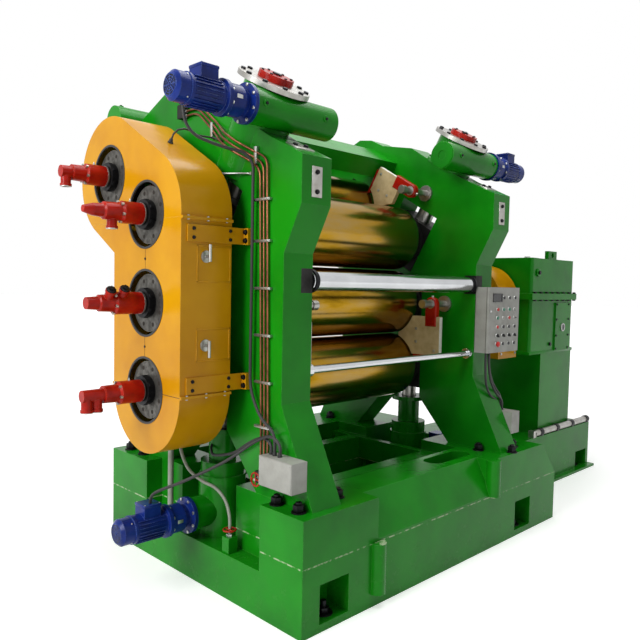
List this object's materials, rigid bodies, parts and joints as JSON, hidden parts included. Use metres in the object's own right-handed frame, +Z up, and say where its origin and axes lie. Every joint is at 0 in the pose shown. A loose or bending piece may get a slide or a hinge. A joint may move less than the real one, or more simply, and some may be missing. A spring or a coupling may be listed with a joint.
{
  "type": "rubber calender",
  "caption": "Inclined-offset rubber calender with polished rolls between green side housings, motorised nip screws, a gear cover and a separate drive reducer.",
  "frame": {"origin": "on the floor, at the underside of the plinth's middle rib, below the upright row of rolls and midway between the side housings", "axes": "+X along the rolls from the operator side with the gear cover to the drive side with the reducer, +Y to the rear, +Z up"},
  "size_m": [4.83, 2.103, 2.8116],
  "materials": {
    "black_rubber": "matte",
    "blue_enamel": "gloss",
    "copper": "satin",
    "cream_plate": "satin",
    "dark_cast_iron": "oiled",
    "green_enamel": "gloss",
    "grey_enamel": "satin",
    "machined_steel": "satin",
    "ochre_enamel": "gloss",
    "polished_roll_steel": "polished",
    "red_enamel": "gloss"
  },
  "bodies": {
    "frame": {"bed": "green_enamel", "control_panel": "grey_enamel", "coupling_guard": "ochre_enamel", "cover_straps": "ochre_enamel", "cross_beam": "green_enamel", "drain_pipe": "machined_steel", "drain_valve": "green_enamel", "drive_base": "green_enamel", "drive_rail": "machined_steel", "gear_cover_bottom": "ochre_enamel", "gear_cover_front": "ochre_enamel", "gear_cover_rear": "ochre_enamel", "gear_cover_top": "ochre_enamel", "guide_bar": "polished_roll_steel", "guide_bearings": "dark_cast_iron", "guide_rods": "machined_steel", "housing_drive": "green_enamel", "housing_operator": "green_enamel", "junction_boxes": "grey_enamel", "lower_gearboxes": "green_enamel", "lower_gearmotors": "blue_enamel", "lube_blocks": "dark_cast_iron", "lube_pipes": "copper", "motor_cable": "black_rubber", "plinth": "green_enamel", "rear_gearboxes": "green_enamel", "rear_gearmotors": "blue_enamel", "reducer": "green_enamel", "roll_3_blocks": "dark_cast_iron", "rotary_joint_3": "red_enamel", "screw_caps": "red_enamel", "screw_flanges": "machined_steel", "upper_gearboxes": "green_enamel", "upper_gearmotors": "blue_enamel"},
    "roll_3": {"roll_3": "polished_roll_steel", "drive_coupling": "machined_steel"},
    "carriage_1": {"roll_1_blocks": "dark_cast_iron", "roll_1_screws": "machined_steel", "rotary_joint_1": "red_enamel"},
    "roll_1": {"roll_1": "polished_roll_steel"},
    "carriage_2": {"roll_2_blocks": "dark_cast_iron", "roll_2_screws": "machined_steel", "rotary_joint_2": "red_enamel"},
    "roll_2": {"roll_2": "polished_roll_steel"},
    "carriage_4": {"roll_4_blocks": "dark_cast_iron", "roll_4_screws": "machined_steel", "rotary_joint_4": "red_enamel"},
    "roll_4": {"roll_4": "polished_roll_steel"},
    "guide_roller": {"guide_roller": "polished_roll_steel"},
    "latch_upper": {"latch_upper": "machined_steel"},
    "latch_lower": {"latch_lower": "machined_steel"},
    "guide_lower_operator": {"stock_guide_lower_operator": "cream_plate", "guide_holder_lower_operator": "red_enamel"},
    "guide_lower_drive": {"stock_guide_lower_drive": "cream_plate", "guide_holder_lower_drive": "red_enamel"},
    "guide_upper_operator": {"stock_guide_upper_operator": "cream_plate", "guide_holder_upper_operator": "red_enamel"},
    "guide_upper_drive": {"stock_guide_upper_drive": "cream_plate", "guide_holder_upper_drive": "red_enamel"}
  },
  "joints": [
    {"name": "roll_3_spin", "type": "hinge", "parent": "frame", "child": "roll_3", "pos_m": [0, 0, 1.552], "axis": [1, 0, 0], "continuous": true},
    {"name": "roll_2_adjust", "type": "slide", "parent": "frame", "child": "carriage_2", "axis": [0, -0.5, 0.866], "range_m": [0, 0.012]},
    {"name": "roll_1_adjust", "type": "slide", "parent": "frame", "child": "carriage_1", "axis": [0, 0.866, 0.5], "range_m": [0, 0.012]},
    {"name": "roll_4_adjust", "type": "slide", "parent": "frame", "child": "carriage_4", "axis": [0, 0, -1], "range_m": [0, 0.012]},
    {"name": "roll_2_spin", "type": "hinge", "parent": "carriage_2", "child": "roll_2", "pos_m": [0, 0, 2.007], "axis": [1, 0, 0], "continuous": true},
    {"name": "roll_1_spin", "type": "hinge", "parent": "carriage_1", "child": "roll_1", "pos_m": [0, 0.39404, 2.2345], "axis": [1, 0, 0], "continuous": true},
    {"name": "roll_4_spin", "type": "hinge", "parent": "carriage_4", "child": "roll_4", "pos_m": [0, 0, 1.097], "axis": [1, 0, 0], "continuous": true},
    {"name": "guide_roller_spin", "type": "hinge", "parent": "frame", "child": "guide_roller", "pos_m": [0, -0.575, 1.683], "axis": [1, 0, 0], "continuous": true},
    {"name": "latch_upper_turn", "type": "hinge", "parent": "frame", "child": "latch_upper", "pos_m": [-1.232, -0.33, 1.792], "axis": [0, -1, 0], "range_deg": [0, 90]},
    {"name": "latch_lower_turn", "type": "hinge", "parent": "frame", "child": "latch_lower", "pos_m": [-1.232, -0.33, 1.35], "axis": [0, -1, 0], "range_deg": [0, 90]},
    {"name": "stock_guide_lower_operator_slide", "type": "slide", "parent": "frame", "child": "guide_lower_operator", "axis": [1, 0, 0], "range_m": [-0.04, 0.05]},
    {"name": "stock_guide_lower_drive_slide", "type": "slide", "parent": "frame", "child": "guide_lower_drive", "axis": [-1, 0, 0], "range_m": [-0.04, 0.05]},
    {"name": "stock_guide_upper_operator_slide", "type": "slide", "parent": "frame", "child": "guide_upper_operator", "axis": [1, 0, 0], "range_m": [-0.04, 0.05]},
    {"name": "stock_guide_upper_drive_slide", "type": "slide", "parent": "frame", "child": "guide_upper_drive", "axis": [-1, 0, 0], "range_m": [-0.04, 0.05]}
  ],
  "couplings": [
    {"joint": "roll_2_spin", "follows": "roll_3_spin", "ratio": -1},
    {"joint": "roll_4_spin", "follows": "roll_3_spin", "ratio": -1},
    {"joint": "roll_1_spin", "follows": "roll_3_spin", "ratio": 1}
  ]
}
